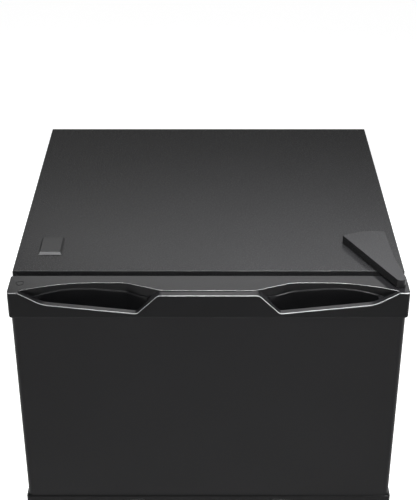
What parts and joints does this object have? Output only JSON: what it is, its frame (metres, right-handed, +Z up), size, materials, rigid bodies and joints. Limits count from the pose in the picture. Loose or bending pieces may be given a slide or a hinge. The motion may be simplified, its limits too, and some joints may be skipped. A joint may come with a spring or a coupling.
{
  "type": "freestanding refrigerator",
  "caption": "Tall dark grey refrigerator with a freezer above, moulded door end caps with finger scoops, a wedge hinge cover and a fully fitted interior.",
  "frame": {"origin": "on the floor, in the middle of the whole outline seen from above", "axes": "+Z up, -Y towards the front of the doors, +X towards the hinges"},
  "size_m": [0.7, 0.6934, 1.795],
  "materials": {
    "cabinet_steel": "fine-textured satin graphite paint",
    "door_steel": "fine-textured satin dark grey paint",
    "dark_plastic": "fine grained dark grey moulding",
    "liner_plastic": "satin white thermoformed sheet",
    "white_moulding": "white injection moulding",
    "insulation": "rigid foam, foamed in place",
    "zinc_steel": "zinc plated sheet",
    "black_enamel": "black enamel",
    "seal_rubber": "soft dark grey vinyl rubber",
    "bare_aluminium": "bare fin stock",
    "coated_wire": "white plastic coated wire",
    "shelf_glass": "clear toughened glass",
    "trim_plastic": "pale grey moulding",
    "clear_plastic": "clear injection moulding",
    "ice_tray_plastic": "pale blue flexible moulding",
    "lamp_lens": "frosted lens"
  },
  "bodies": {
    "cabinet": {"cabinet_wrap": "cabinet_steel", "hinge_cover": "dark_plastic", "blanking_plugs": "dark_plastic", "kick_plate": "dark_plastic", "mullion_rail": "dark_plastic", "drain_pan": "dark_plastic", "fan_motor": "dark_plastic", "freezer_liner": "liner_plastic", "fridge_liner": "liner_plastic", "freezer_air_panel": "white_moulding", "fridge_air_duct": "white_moulding", "control_box": "white_moulding", "ice_frame": "white_moulding", "cabinet_foam": "insulation", "back_panel": "zinc_steel", "base_pan": "zinc_steel", "machine_room_cover": "zinc_steel", "top_hinge": "zinc_steel", "middle_hinge": "zinc_steel", "bottom_hinge": "zinc_steel", "hinge_screws": "zinc_steel", "compressor": "black_enamel", "condenser_coil": "black_enamel", "compressor_grommets": "seal_rubber", "cord_gland": "seal_rubber", "evaporator": "bare_aluminium", "freezer_shelf": "coated_wire", "shelf_glass_1": "shelf_glass", "shelf_glass_2": "shelf_glass", "shelf_glass_3": "shelf_glass", "shelf_glass_4": "shelf_glass", "shelf_trims": "trim_plastic", "light_lens": "lamp_lens"},
    "freezer_door": {"freezer_door_skin": "door_steel", "freezer_door_top_cap": "dark_plastic", "freezer_door_bottom_cap": "dark_plastic", "freezer_door_foam": "insulation", "freezer_door_liner": "liner_plastic", "freezer_door_gasket": "seal_rubber", "freezer_bin_lower": "clear_plastic", "freezer_bin_upper": "clear_plastic"},
    "fridge_door": {"fridge_door_skin": "door_steel", "fridge_door_top_cap": "dark_plastic", "fridge_door_bottom_cap": "dark_plastic", "fridge_door_foam": "insulation", "fridge_door_liner": "liner_plastic", "fridge_door_gasket": "seal_rubber", "bottle_bin": "clear_plastic", "door_bin_lower": "clear_plastic", "door_bin_upper": "clear_plastic", "dairy_bin": "clear_plastic"},
    "dairy_lid": {"dairy_lid": "clear_plastic"},
    "crisper_left": {"crisper_left": "clear_plastic"},
    "crisper_right": {"crisper_right": "clear_plastic"},
    "temperature_dial": {"temperature_dial": "trim_plastic"},
    "evaporator_fan": {"evaporator_fan": "white_moulding"},
    "ice_tray": {"ice_tray": "ice_tray_plastic"},
    "foot_left": {"foot_left": "dark_plastic"},
    "foot_right": {"foot_right": "dark_plastic"},
    "rear_rollers": {"rear_rollers": "dark_plastic"}
  },
  "joints": [
    {"name": "freezer_door_hinge", "type": "hinge", "parent": "cabinet", "child": "freezer_door", "pos_m": [0.335, -0.3207, 1.5], "axis": [0, 0, 1], "range_deg": [0, 130]},
    {"name": "fridge_door_hinge", "type": "hinge", "parent": "cabinet", "child": "fridge_door", "pos_m": [0.335, -0.3207, 0.65], "axis": [0, 0, 1], "range_deg": [0, 130]},
    {"name": "crisper_left_slide", "type": "slide", "parent": "cabinet", "child": "crisper_left", "axis": [0, -1, 0], "range_m": [0, 0.085]},
    {"name": "crisper_right_slide", "type": "slide", "parent": "cabinet", "child": "crisper_right", "axis": [0, -1, 0], "range_m": [0, 0.085]},
    {"name": "dairy_lid_hinge", "type": "hinge", "parent": "fridge_door", "child": "dairy_lid", "pos_m": [0, -0.2673, 1.0605], "axis": [1, 0, 0], "range_deg": [0, 90]},
    {"name": "temperature_dial_turn", "type": "hinge", "parent": "cabinet", "child": "temperature_dial", "pos_m": [0.072, -0.1453, 1.199], "axis": [0, 1, 0], "range_deg": [-135, 135]},
    {"name": "ice_tray_twist", "type": "hinge", "parent": "cabinet", "child": "ice_tray", "pos_m": [-0.205, -0.0473, 1.576], "axis": [0, 1, 0], "range_deg": [0, 150]},
    {"name": "evaporator_fan_spin", "type": "hinge", "parent": "cabinet", "child": "evaporator_fan", "pos_m": [0, 0.2267, 1.624], "axis": [0, 1, 0], "continuous": true},
    {"name": "foot_left_turn", "type": "hinge", "parent": "cabinet", "child": "foot_left", "pos_m": [-0.29, -0.2113, 0.02], "axis": [0, 0, 1], "continuous": true},
    {"name": "foot_right_turn", "type": "hinge", "parent": "cabinet", "child": "foot_right", "pos_m": [0.29, -0.2113, 0.02], "axis": [0, 0, 1], "continuous": true},
    {"name": "rear_rollers_spin", "type": "hinge", "parent": "cabinet", "child": "rear_rollers", "pos_m": [0, 0.2867, 0.015], "axis": [1, 0, 0], "continuous": true}
  ]
}
